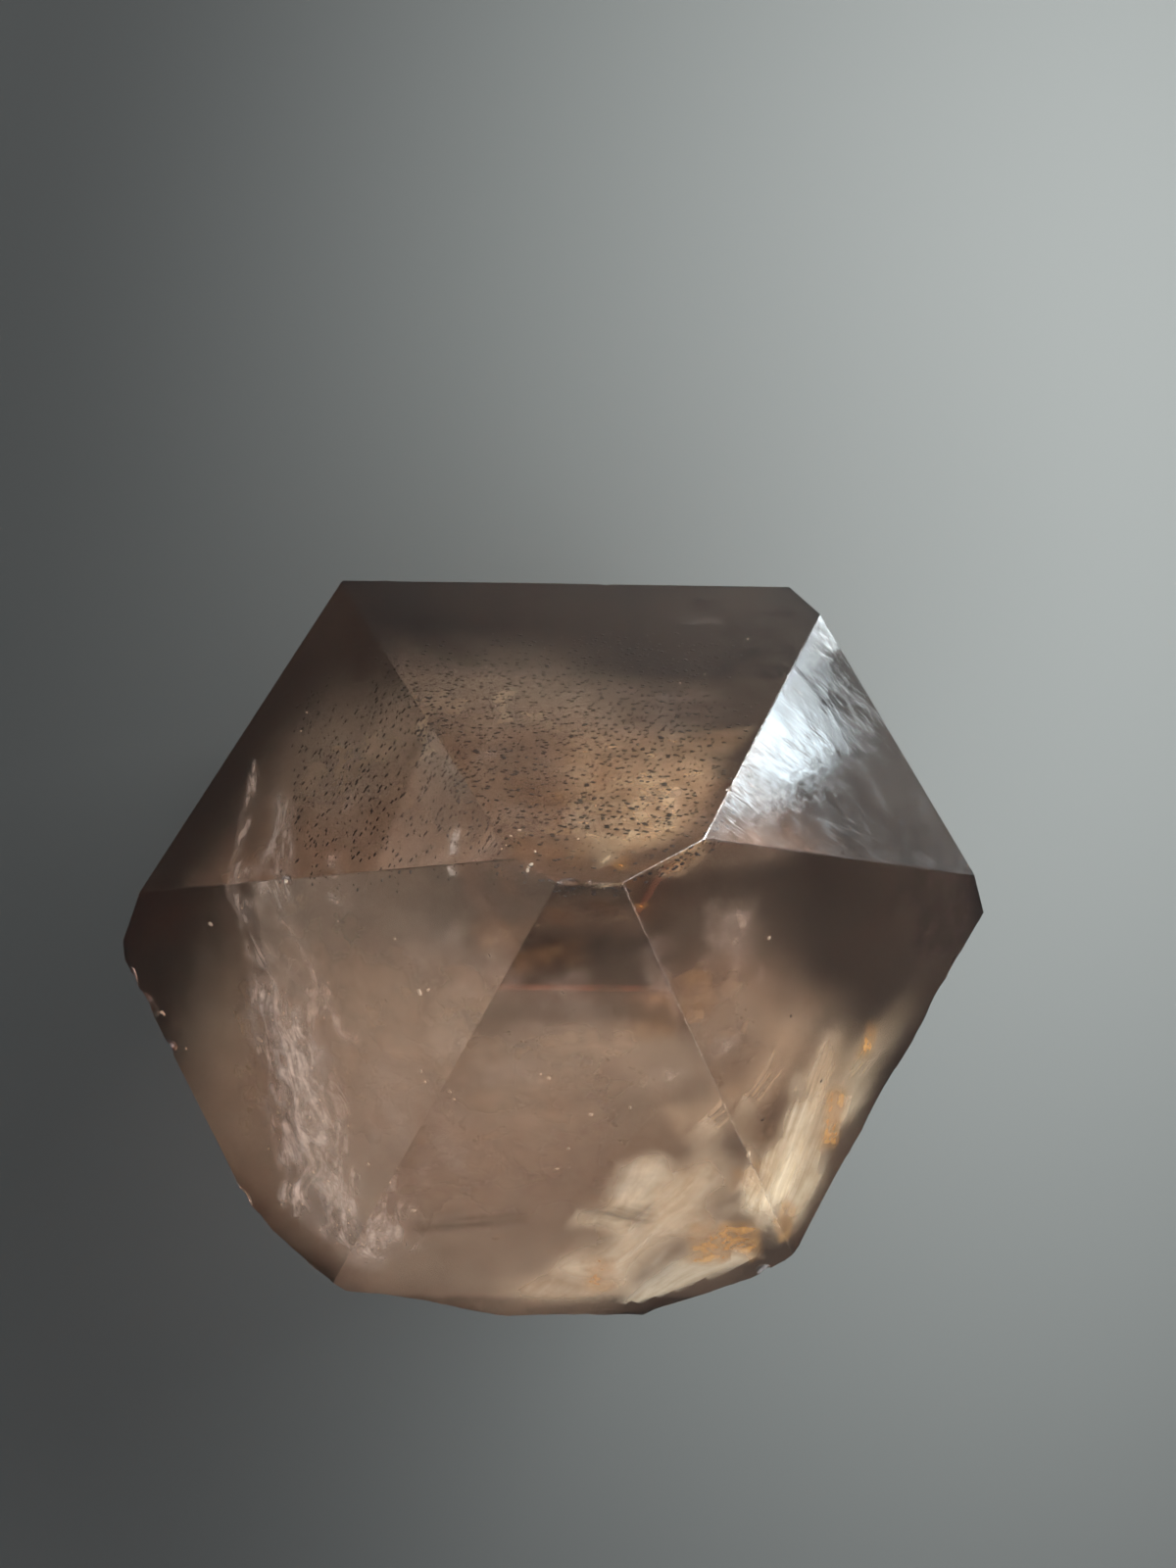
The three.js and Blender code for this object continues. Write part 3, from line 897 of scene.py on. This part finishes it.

# %% [markdown]
# Dark wisps and painted shade. Fine chlorite dust lies in some cracks too. Some of these dark sheets are
# painted shade, not dust: under the back face along its top and at its right corner, and under the front
# right face at its upper right, they darken the quartz where shade falls into it. The film takes light away
# and gives none back, so it is nearly black-brown and has no gloss: with gloss, it would mirror the sky as
# grey fog.

# %% Dark wisps and painted shade
dust_and_painted_shade = film_material(
    "dusty_film", "2b1f18", "40362c", most=0.8, least=0.1, cloud=3.0, thread=(9, 0.9), bounds=(0.35, 0.7),
    relief=0.02, gloss=0.0,
)
DUST_AND_PAINTED_SHADE = [
    # painted shade: a dark sheet along the top of the back face
    behind(
        "back", [(430, 622, 14), (520, 668, 14), (490, 690, 18), (400, 650, 18)],
        strength=0.6, pale=0.3, streak=0.2, border=3,
    ),
    patch("back", 625, 760, 712, 742, depth=9, strength=0.5, pale=0.5, streak=0.4, border=1.8),
    # painted shade: a dark sheet at the back face's upper right
    patch("back", 700, 830, 610, 720, depth=24, strength=0.6, pale=0.1, border=5),
    behind(
        "front", [(415, 1246, 7), (540, 1232, 8), (545, 1252, 8), (418, 1262, 6)],
        strength=0.7, pale=0.3, streak=1.0, border=1.2,
    ),
    patch(
        "front", 592, 672, 1228, 1254,
        depth=2.6, strength=0.75, pale=0.5, streak=1.0, border=1.4, clear=1,
    ),
    behind(
        "front_left", [(300, 1195, 4), (340, 1290, 4), (362, 1280, 6), (330, 1190, 7)],
        strength=0.5, pale=0.2, streak=0.6,
    ),
    behind(
        "front_left", [(244, 925, 7), (300, 1010, 9), (316, 1000, 11), (262, 920, 9)],
        strength=0.5, pale=0.3,
    ),
    # painted shade: two dark sheets at the upper right of the front right face
    patch("front_right", 930, 1010, 880, 985, depth=5, strength=0.8, pale=0.0, border=3),
    patch("front_right", 895, 990, 868, 945, depth=14, strength=0.5, pale=0.1, border=4),
]
inside_piece("dark_wisps", film_mesh("dark_wisps", DUST_AND_PAINTED_SHADE), dust_and_painted_shade)

# %% [markdown]
# The phantom. While the crystal grew, a dust of chlorite settled on two of its sloping faces and was
# grown over. It is now a layer of small dark specks, 2.5 millimetres down and parallel to the face.
# They repeat by the thousand, so Geometry Nodes scatter them: points on a plane, one small lump on
# each, turned and sized at random. A lump has only 20 faces, because there are so many.

# %% A tree that scatters small lumps
SMALLEST_LUMP, LARGEST_LUMP = 0.45, 1.35  # shares of the given length
SCATTER_INPUTS = {
    "Per square metre": "Float", "Length": "Float", "Width share": "Float", "Turn": "Float",
    "Turn spread": "Float", "Lift": "Float", "Seed": "Int", "Material": "Material",
}


def scatter_tree():
    """Lumps on a mesh, as many as its "thick" attribute asks for."""
    tree = bpy.data.node_groups.new("scatter_lumps", "GeometryNodeTree")
    face = tree.interface
    face.new_socket("Plane", in_out="INPUT", socket_type="NodeSocketGeometry")
    for name, kind in SCATTER_INPUTS.items():
        face.new_socket(name, in_out="INPUT", socket_type="NodeSocket" + kind)
    face.new_socket("Geometry", in_out="OUTPUT", socket_type="NodeSocketGeometry")
    given = add(tree, "NodeGroupInput").outputs

    # Points, more of them where the film is thick
    share = add(tree, "GeometryNodeInputNamedAttribute", {"data_type": "FLOAT"}, Name="thick")
    density = add(
        tree, "ShaderNodeMath", {"operation": "MULTIPLY"}, _0=share.outputs["Attribute"],
        _1=given["Per square metre"],
    )
    points = add(
        tree, "GeometryNodeDistributePointsOnFaces", Mesh=given["Plane"], Density=density.outputs["Value"],
        Seed=given["Seed"],
    )

    # How large each lump is
    length = add(
        tree, "FunctionNodeRandomValue", {"data_type": "FLOAT"}, _2=SMALLEST_LUMP, _3=LARGEST_LUMP,
        Seed=given["Seed"],
    ).outputs[1]
    length = add(
        tree, "ShaderNodeMath", {"operation": "MULTIPLY"}, _0=length, _1=given["Length"],
    ).outputs["Value"]
    width = add(
        tree, "ShaderNodeMath", {"operation": "MULTIPLY"}, _0=length, _1=given["Width share"],
    ).outputs["Value"]
    size = add(tree, "ShaderNodeCombineXYZ", X=length, Y=width, Z=width).outputs["Vector"]

    # How each lump is turned in the plane
    swing = add(
        tree, "FunctionNodeRandomValue", {"data_type": "FLOAT"}, _2=-1.0, _3=1.0, Seed=given["Seed"],
    ).outputs[1]
    angle = add(
        tree, "ShaderNodeMath", {"operation": "MULTIPLY_ADD"}, _0=swing, _1=given["Turn spread"],
        _2=given["Turn"],
    ).outputs["Value"]
    turn = add(tree, "ShaderNodeCombineXYZ", Z=angle).outputs["Vector"]
    rotation = add(
        tree, "FunctionNodeRotateRotation", {"rotation_space": "LOCAL"}, Rotation=points.outputs["Rotation"],
        Rotate_By=add(tree, "FunctionNodeEulerToRotation", Euler=turn).outputs["Rotation"],
    )

    # How far each lump lies off the plane
    level = add(
        tree, "FunctionNodeRandomValue", {"data_type": "FLOAT"}, _2=-1.0, _3=1.0, Seed=given["Seed"],
        ID=angle,
    ).outputs[1]
    level = add(
        tree, "ShaderNodeMath", {"operation": "MULTIPLY"}, _0=level, _1=given["Lift"],
    ).outputs["Value"]
    offset = add(
        tree, "ShaderNodeVectorMath", {"operation": "SCALE"}, _0=points.outputs["Normal"], Scale=level,
    )
    lifted = add(
        tree, "GeometryNodeSetPosition", Geometry=points.outputs["Points"], Offset=offset.outputs["Vector"],
    )

    # The lumps themselves, as a plain mesh
    lump = add(tree, "GeometryNodeMeshIcoSphere", Radius=0.5, Subdivisions=1)
    lumps = add(
        tree, "GeometryNodeInstanceOnPoints", Points=lifted.outputs["Geometry"],
        Instance=lump.outputs["Mesh"], Rotation=rotation.outputs["Rotation"], Scale=size,
    )
    real = add(tree, "GeometryNodeRealizeInstances", Geometry=lumps.outputs["Instances"])
    coated = add(
        tree, "GeometryNodeSetMaterial", Geometry=real.outputs["Geometry"], Material=given["Material"],
    )
    add(tree, "NodeGroupOutput", Geometry=coated.outputs["Geometry"])
    return tree


scatter = scatter_tree()

# %% [markdown]
# The tree works on a carrier object that is thrown away again. Its modifier's inputs go by the
# sockets' identifiers, and are set before the object is first evaluated. The result is kept as a
# plain mesh, because an export drops instances and modifiers.

# %% Scattering
def scattered(name, plane_mesh, slot, **inputs):
    """Scatters lumps on a mesh and keeps the result as a plain mesh."""
    carrier = new_object(name + "_plane", plane_mesh)
    modifier = carrier.modifiers.new("scatter", "NODES")
    modifier.node_group = scatter
    for item in scatter.interface.items_tree:
        key = item.name.replace(" ", "_")
        if item.in_out == "INPUT" and key in inputs:
            modifier[item.identifier] = inputs[key]
    evaluated = carrier.evaluated_get(bpy.context.evaluated_depsgraph_get())
    mesh = bpy.data.meshes.new_from_object(evaluated)
    carrier.modifiers.remove(modifier)
    bpy.data.objects.remove(carrier)
    mesh.name = name
    inside_piece(name, mesh)


# %% [markdown]
# Chlorite is a dull, green-black mineral. Under brown quartz its specks look simply dark, so the
# colour is nearly black and the surface matt. They are 0.2 to 0.6 millimetres long and about half
# as wide, and point roughly one way.

# %% Specks on the phantom's faces
speck, tree, out = new_material("chlorite_speck")
shader = add(tree, "ShaderNodeBsdfPrincipled", Base_Color=linear("14120e"), Roughness=0.6)
tree.links.new(shader.outputs["BSDF"], out.inputs["Surface"])
PHANTOM_DEPTH = 2.5  # millimetres under the face


def phantom_plane(face, points, strength):
    """A flat sheet under a face, thick where the specks lie close together."""
    corners = [(*point, PHANTOM_DEPTH) for point in points]
    return behind(face, corners, strength, wave=0, border=7, clear=1.8)


PHANTOM = [
    phantom_plane("back", [(350, 650), (770, 640), (800, 890), (440, 915)], 1.0),
    phantom_plane("back_left", [(300, 690), (450, 660), (560, 890), (270, 915)], 0.6),
]
scattered(
    "phantom_specks", film_mesh("phantom", PHANTOM), "chlorite", Per_square_metre=2.1e6, Length=0.42 * MM,
    Width_share=0.55, Turn=math.radians(-35), Turn_spread=math.radians(55), Lift=0.7 * MM, Seed=5,
    Material=speck,
)

# %% [markdown]
# Flakes. Here and there in a veil a bubble is large and flat enough to mirror the light. These are
# small bright lumps, scattered over the same sheets. A bubble in quartz mirrors like thin metal, so
# the material is partly metallic.

# %% Bright flakes in the veils
flake, tree, out = new_material("silvery_bubble")
shader = add(
    tree, "ShaderNodeBsdfPrincipled", Base_Color=linear("cfc3b0"), Roughness=0.35, Metallic=0.3,
)
tree.links.new(shader.outputs["BSDF"], out.inputs["Surface"])
scattered(
    "veil_flakes", film_mesh("flaky_veils", VEILS[:6]), "healed_fractures", Per_square_metre=0.25e6,
    Length=0.3 * MM, Width_share=0.6, Turn=0.1, Turn_spread=3.0, Lift=0.5 * MM, Seed=11, Material=flake,
)

# %% [markdown]
# Single dots. A few bubbles and grains stand out on their own. They are few enough to be placed one by
# one, each where it shows in the picture. Noise dents each lump, so that none looks like a bead.

# %% Single dots
DOT_SIZE = 0.55  # share of the radius below, which was read off the picture with a dot's soft edge
# Most of these are bubbles and grains. The three on the broken rim at the left are painted highlights: pale
# lumps that stand in for glints on its chips.
BUBBLES_AND_PAINTED_GLINTS = [  # face, across, down, depth, radius in millimetres
    ("back_left", 307, 746, 2, 0.22), ("back_left", 313, 727, 2, 0.3), ("back_left", 290, 898, 0.4, 0.35),
    ("back_left", 512, 866, 1, 0.15), ("back", 530, 847, 0.9, 0.3), ("back", 521, 853, 0.9, 0.22),
    ("back", 546, 869, 0.9, 0.25), ("back", 542, 882, 0.8, 0.3), ("back", 590, 856, 1.2, 0.2),
    ("back", 497, 768, 2, 0.2), ("back", 694, 697, 2, 0.16), ("back", 719, 688, 2, 0.14),
    ("back", 763, 652, 2, 0.14), ("front_left", 215, 943, 2.5, 0.5), ("front_left", 428, 1013, 5, 0.5),
    ("front_left", 403, 958, 3, 0.22), ("front_left", 437, 1010, 5, 0.3), ("front_left", 345, 940, 3, 0.14),
    ("front_left", 430, 1093, 8, 0.3), ("front_left", 434, 1104, 8, 0.25), ("front_left", 316, 1140, 5, 0.3),
    ("front_left", 376, 1188, 6, 0.35), ("front", 603, 1137, 8, 0.35), ("front", 643, 1130, 9, 0.3),
    ("front", 580, 1172, 8, 0.3), ("front", 568, 1193, 7, 0.35), ("front", 422, 1235, 2, 0.4),
    ("front", 560, 1100, 8, 0.35), ("front", 552, 1096, 8, 0.2), ("front_right", 785, 957, 4, 0.3),
    # painted highlights: glints on the chips of the broken rim
    ("front_left", 166, 1034, 0.9, 0.6), ("front_left", 178, 1066, 0.9, 0.4),
    ("front_left", 190, 1070, 0.9, 0.25),
]
DARK_DOTS = [
    ("back", 675, 753, 2, 0.35), ("front_right", 821, 935, 2, 0.18), ("front_right", 807, 1037, 2, 0.22),
    ("front_right", 838, 1103, 2, 0.25), ("front_right", 778, 1143, 2, 0.25),
    ("front_right", 780, 1113, 2, 0.12), ("front_right", 793, 1050, 2, 0.1), ("back", 460, 743, 2, 0.2),
]


def placed_lumps(name, places, long, material):
    """Small rounded lumps, each turned and drawn out a little differently."""
    bm = bmesh.new()
    for index, (face, across, down, depth, radius) in enumerate(places):
        turn = Matrix.Rotation(index * 2.4, 4, "Z") @ Matrix.Rotation(index * 1.3, 4, "X")
        size = Matrix.Diagonal((radius * long, radius, radius * 0.6, 1)) * (DOT_SIZE * MM)
        size[3][3] = 1
        place = Matrix.Translation(top + seen_through(face, across, down, depth) * MM)
        made = bmesh.ops.create_icosphere(bm, subdivisions=2, radius=1, matrix=place @ turn @ size)
        for vert in made["verts"]:
            vert.co += Vector((1, 1, 1)) * noise.noise(vert.co / (0.3 * MM)) * radius * 0.25 * MM
    for face in bm.faces:
        face.smooth = True
    mesh = bpy.data.meshes.new(name)
    bm.to_mesh(mesh)
    bm.free()
    inside_piece(name, mesh, material)


placed_lumps("bright_dots", BUBBLES_AND_PAINTED_GLINTS, 1.2, flake)
placed_lumps("dark_dots", DARK_DOTS, 1.5, speck)

# %% [markdown]
# The floor is plain and pale, with a pool of light painted into its colour: lightest to the right of
# the crystal, it falls into painted shade to the left and far away. The painted shade serves the
# crystal: its polished faces mirror the floor, and a floor that is pale everywhere lays a grey fog over
# the dark quartz.

# %% Floor
FLOOR = 3.0  # metres from the middle to each side
SQUEEZE = 0.6  # the pale place is an ellipse, drawn out from front to back
PAINTED_LIT_PLACE = Vector((62, 60 * SQUEEZE, 0)) * MM  # from the crystal's axis
LIT_FROM, LIT_TO = 10, 150  # millimetres over which it falls into shade
PAINTED_LIT, PAINTED_SHADED = 0.95, 0.15  # shares of the floor's colour
floor_mesh = bpy.data.meshes.new("floor")
floor_mesh.from_pydata(
    [(-FLOOR, -FLOOR, 0), (FLOOR, -FLOOR, 0), (FLOOR, FLOOR, 0), (-FLOOR, FLOOR, 0)], [], [(0, 1, 2, 3)],
)
floor_material, tree, out = new_material("pale_floor")
where = add(tree, "ShaderNodeTexCoord").outputs["Object"]
near = add(tree, "ShaderNodeVectorMath", {"operation": "MULTIPLY"}, _0=where, _1=(1, SQUEEZE, 0))
away = add(tree, "ShaderNodeVectorMath", {"operation": "DISTANCE"}, _0=near.outputs["Vector"], _1=PAINTED_LIT_PLACE)
# painted light and shade: the floor's colour fades from the painted pool of light into painted shade
painted_falloff = add(
    tree, "ShaderNodeMapRange", {"interpolation_type": "SMOOTHSTEP"}, Value=away.outputs["Value"],
    From_Min=LIT_FROM * MM, From_Max=LIT_TO * MM, To_Min=PAINTED_LIT, To_Max=PAINTED_SHADED,
)
painted_floor_colour = add(
    tree, "ShaderNodeMix", {"data_type": "RGBA"}, Factor=painted_falloff.outputs["Result"], _6=(0, 0, 0, 1),
    _7=linear("6c6e6b"),
)
shader = add(tree, "ShaderNodeBsdfPrincipled", Base_Color=painted_floor_colour.outputs[2], Roughness=0.95)
tree.links.new(shader.outputs["BSDF"], out.inputs["Surface"])
floor = new_object("floor", floor_mesh, floor_material)
floor.location.z = low.z - 0.05 * MM

# %% [markdown]
# The sky is soft and has two glows. The strong one stands low in front: its light comes in through
# the broken sides and lights the haze. The weak one stands high at the back and right.

# %% Sky
DARKEST_SKY = 0.05
GLOWS = [  # towards, how close to that direction it starts (1 is straight at it), strength
    ((0.3, -0.95, 0.08), 0.0, 7.5),
    ((0.5, 0.6, 0.62), 0.3, 1.4),
]
world = bpy.data.worlds.new("soft_sky")
world.use_nodes = True
tree = world.node_tree
background = tree.nodes["Background"]
direction = add(tree, "ShaderNodeTexCoord").outputs["Generated"]
glows = []
for towards, start, strength in GLOWS:
    near = add(tree, "ShaderNodeVectorMath", {"operation": "DOT_PRODUCT"}, _0=direction, _1=towards)
    glow = add(
        tree, "ShaderNodeMapRange", {"interpolation_type": "SMOOTHSTEP"}, Value=near.outputs["Value"],
        From_Min=start, From_Max=1.0, To_Min=DARKEST_SKY, To_Max=strength,
    )
    glows.append(glow.outputs["Result"])
brightness = add(tree, "ShaderNodeMath", {"operation": "ADD"}, _0=glows[0], _1=glows[1])
background.inputs["Color"].default_value = linear("c8ccd0")
tree.links.new(brightness.outputs["Value"], background.inputs["Strength"])
bpy.context.scene.world = world

# %% [markdown]
# A polished face shows little of its own: it mirrors what lies around it. Following a ray from the
# lens to a face and on to the floor gives the place that the face mirrors. A sheet of light there,
# out of the picture, makes exactly that face lighter, and gives the clear steps in tone from face to
# face. Where a sheet's border would show as a line, two or three weak sheets of different size lie
# over each other.

# %% Lights
def soft_light(name, where, aim, size, power, colour):
    """A rectangular area light at a place, turned to face another. Places are in mm from the top."""
    data = bpy.data.lights.new(name, "AREA")
    data.shape = "RECTANGLE"
    data.size, data.size_y = size[0] * MM, size[1] * MM
    data.energy = power
    data.color = linear(colour)[:3]
    light = bpy.data.objects.new(name, data)
    light.location = top + Vector(where) * MM
    light.rotation_euler = (Vector(aim) - Vector(where)).to_track_quat("-Z", "Y").to_euler()
    light.visible_camera = False
    bpy.context.scene.collection.objects.link(light)
    return light


def glowing_sheet(name, where, size, turned, power, colour):
    """A sheet of light lying just above the floor and facing up."""
    light = soft_light(name, (*where, 2 - HEIGHT), (*where, 0), size, power, colour)
    light.rotation_euler.z = math.radians(turned)


SHEETS = [  # name, place from the axis and size in mm, degrees turned, watts, colour
    ("window_glass", (194, 134), (58, 24), 30, 0.048, "e0f0f8"),  # on the worn face
    ("window_edge", (137, 119), (12, 22), 30, 0.011, "e8f4f8"),
    ("left_card_wide", (-415, -185), (400, 290), -21, 0.26, "ffe9d2"),  # on the front left face
    ("left_card", (-428, -205), (360, 250), -21, 0.26, "ffe9d2"),
    ("front_card", (12, -336), (116, 272), 0, 0.05, "ffdabe"),  # on the front face
    ("back_card_wide", (14, 300), (150, 170), 0, 0.011, "ffdcb4"),  # on the back face
    ("back_card", (14, 322), (136, 118), 0, 0.018, "ffdcb4"),
    ("back_card_core", (14, 342), (122, 64), 0, 0.014, "ffdcb4"),
    ("back_left_card_wide", (-288, 182), (170, 110), 35, 0.036, "ffe4cc"),  # on the back left face
    ("back_left_card", (-292, 186), (136, 80), 35, 0.024, "ffe4cc"),
]
for sheet in SHEETS:
    glowing_sheet(*sheet)
soft_light("window", (330, 250, -30), (0, 20, -80), (300, 200), 7.5, "f4f8fa")
print(len(SHEETS), "sheets of light and one window")

# %% [markdown]
# A look into the crystal crosses many see-through films, and a path that runs out of steps leaves a
# black spot, so transparency gets 24 steps. Ten steps are enough for the light that is thrown back
# and forth between the faces.

# %% Light paths
bpy.context.scene.view_settings.view_transform = "Standard"
bpy.context.scene.cycles.transparent_max_bounces = 24
bpy.context.scene.cycles.max_bounces = 10
bpy.context.scene.cycles.transmission_bounces = 10
bpy.context.scene.cycles.diffuse_bounces = 3
